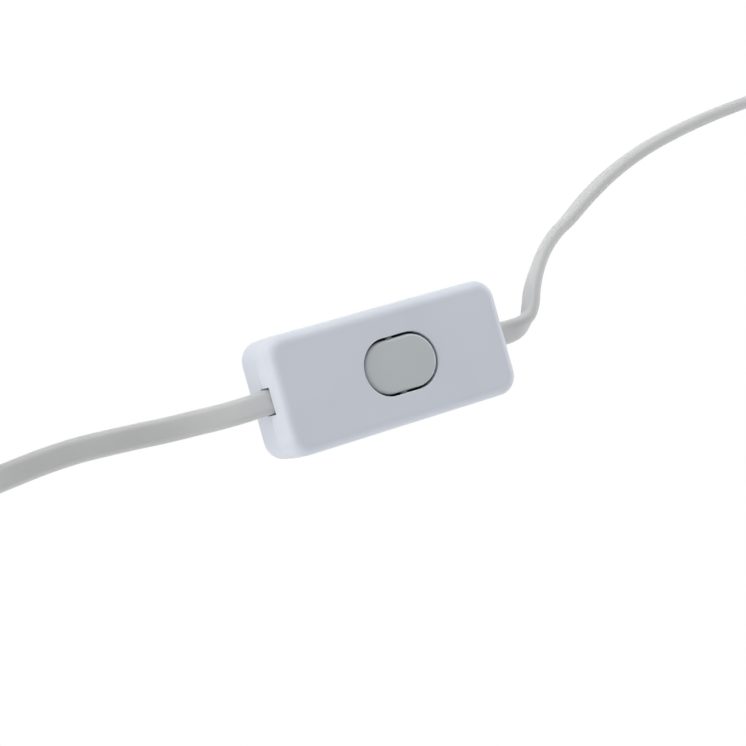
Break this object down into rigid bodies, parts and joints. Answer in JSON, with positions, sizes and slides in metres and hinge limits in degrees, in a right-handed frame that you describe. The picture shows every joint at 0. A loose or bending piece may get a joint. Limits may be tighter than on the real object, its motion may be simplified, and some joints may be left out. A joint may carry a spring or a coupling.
{
  "type": "inline rocker cord switch",
  "caption": "Inline feed-through rocker switch in a flat two-core lead, with a flat two-pin plug on one end and bare ferruled cores on the other.",
  "frame": {"origin": "centre of the switch body's rear face, which it rests on", "axes": "+X along the body towards the lamp end of the lead, +Y across it, +Z out of the front face with the rocker"},
  "size_m": [0.3615, 0.062, 0.0254],
  "materials": {
    "housing": "satin moulded white plastic",
    "rocker": "glossy moulded white plastic",
    "inner_plastic": "natural nylon",
    "cord": "smooth white flexible PVC",
    "plug": "moulded white PVC",
    "sleeve": "white pin insulation",
    "tie": "black rubber band",
    "brown_core": "brown PVC core",
    "blue_core": "blue PVC core",
    "copper": "stranded copper",
    "brass": "stamped brass",
    "silver": "silver contact face",
    "steel": "zinc plated steel",
    "pin": "nickel plated brass",
    "ferrule": "tinned copper sleeve"
  },
  "bodies": {
    "housing": {"front_cover": "housing", "rear_cover": "housing", "live_in_terminal": "brass", "live_out_terminal": "brass", "neutral_terminal": "brass", "fixed_contact_tip": "silver", "terminal_screw_live_in": "steel", "terminal_screw_live_out": "steel", "terminal_screw_neutral_in": "steel", "terminal_screw_neutral_out": "steel", "cover_screw_1": "steel", "cover_screw_2": "steel", "cord_clamp_left": "inner_plastic", "cord_clamp_right": "inner_plastic", "clamp_screw_1": "steel", "clamp_screw_2": "steel", "clamp_screw_3": "steel", "clamp_screw_4": "steel", "live_core_in": "brown_core", "neutral_core_in": "blue_core", "live_copper_in": "copper", "neutral_copper_in": "copper", "live_core_out": "brown_core", "neutral_core_out": "blue_core", "live_copper_out": "copper", "neutral_copper_out": "copper", "cord_left": "cord", "cord_left_hank": "cord", "cord_left_plug_run": "cord", "cord_right": "cord", "cord_right_coil": "cord", "cord_right_end": "cord", "cord_tie_1": "tie", "cord_tie_2": "tie", "cord_tie_3": "tie", "cord_tie_4": "tie", "plug_body": "plug", "plug_pin_a": "pin", "pin_sleeve_a": "sleeve", "plug_pin_b": "pin", "pin_sleeve_b": "sleeve", "lamp_core_live": "brown_core", "lamp_core_neutral": "blue_core", "ferrule_live": "ferrule", "ferrule_neutral": "ferrule"},
    "rocker": {"rocker": "rocker", "plunger_spring": "steel"},
    "plunger": {"plunger": "inner_plastic"},
    "contact": {"contact_plate": "brass", "moving_contact_tip": "silver"}
  },
  "joints": [
    {"name": "rocker_tilt", "type": "hinge", "parent": "housing", "child": "rocker", "pos_m": [0.0012, 0, 0.0108], "axis": [0, 1, 0], "range_deg": [0, 6]},
    {"name": "plunger_slide", "type": "slide", "parent": "rocker", "child": "plunger", "axis": [-0.0523, 0, 0.9986], "range_m": [0, 0.0005], "stiffness_N_per_m": 300, "springref_m": -0.0015, "deforming": ["plunger_spring"]},
    {"name": "contact_rock", "type": "hinge", "parent": "housing", "child": "contact", "pos_m": [0.0012, 0, 0.00495], "axis": [0, 1, 0], "range_deg": [-12, 0]}
  ],
  "couplings": [
    {"joint": "contact_rock", "follows": "rocker_tilt", "ratio": -2}
  ]
}
